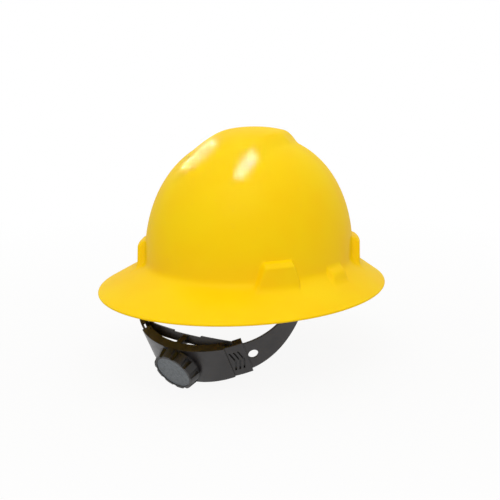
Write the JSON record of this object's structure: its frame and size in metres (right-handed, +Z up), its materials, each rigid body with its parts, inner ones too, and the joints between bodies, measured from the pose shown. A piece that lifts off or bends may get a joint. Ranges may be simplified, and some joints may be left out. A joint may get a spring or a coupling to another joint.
{
  "type": "full brim hard hat",
  "caption": "Full brim hard hat with a domed shell, webbing suspension, brow pad and a nape strap drawn in by a ratchet knob with rack and pinion.",
  "frame": {"origin": "middle of the dome's foot, where the dome meets the brim", "axes": "+Z up, the front of the hat along -Y, the wearer's right along -X"},
  "size_m": [0.27, 0.33, 0.2393],
  "materials": {
    "shell": "glossy moulded polyethylene",
    "webbing": "woven polyester webbing",
    "black_plastic": "fine grained moulding",
    "strap_plastic": "satin moulding",
    "knob_plastic": "satin moulding",
    "disc_plastic": "satin moulding",
    "pad": "knitted cover over foam",
    "natural_plastic": "plain moulding",
    "steel": "zinc plated"
  },
  "bodies": {
    "hat": {"shell": "shell", "key_rear_left": "black_plastic", "key_rear_right": "black_plastic", "key_front_left": "black_plastic", "key_front_right": "black_plastic", "crown_strap_a": "webbing", "crown_strap_b": "webbing", "headband": "black_plastic", "brow_pad": "pad", "pad_stud_left": "black_plastic", "pad_stud_right": "black_plastic"},
    "cradle": {"nape_cradle": "strap_plastic", "ratchet_back_plate": "strap_plastic", "plate_rivet_1": "steel", "plate_rivet_2": "steel", "plate_rivet_3": "steel", "plate_rivet_4": "steel"},
    "knob_set": {"knob": "knob_plastic", "knob_cap": "disc_plastic", "knob_screw": "steel", "pinion": "natural_plastic", "click_spring": "natural_plastic"},
    "left_strap_arm": {"left_arm": "strap_plastic"},
    "right_strap_arm": {"right_arm": "strap_plastic"}
  },
  "joints": [
    {"name": "knob_turn", "type": "hinge", "parent": "cradle", "child": "knob_set", "pos_m": [0, 0.0337, -0.0375], "axis": [0, -0.8746, 0.4848], "range_deg": [0, 345]},
    {"name": "cradle_slide", "type": "slide", "parent": "hat", "child": "cradle", "axis": [0, -0.8746, 0.4848], "range_m": [0, 0.03763]},
    {"name": "left_arm_feed", "type": "hinge", "parent": "cradle", "child": "left_strap_arm", "pos_m": [0, 0.0337, -0.0375], "axis": [0, 0.4848, 0.8746], "range_deg": [0, 24.9]},
    {"name": "right_arm_feed", "type": "hinge", "parent": "cradle", "child": "right_strap_arm", "pos_m": [0, 0.0337, -0.0375], "axis": [0, 0.4848, 0.8746], "range_deg": [-24.4, 0]}
  ],
  "couplings": [
    {"joint": "knob_turn", "follows": "cradle_slide", "rad_per_m": 160},
    {"joint": "left_arm_feed", "follows": "cradle_slide", "rad_per_m": 11.521},
    {"joint": "right_arm_feed", "follows": "cradle_slide", "rad_per_m": -11.274}
  ]
}
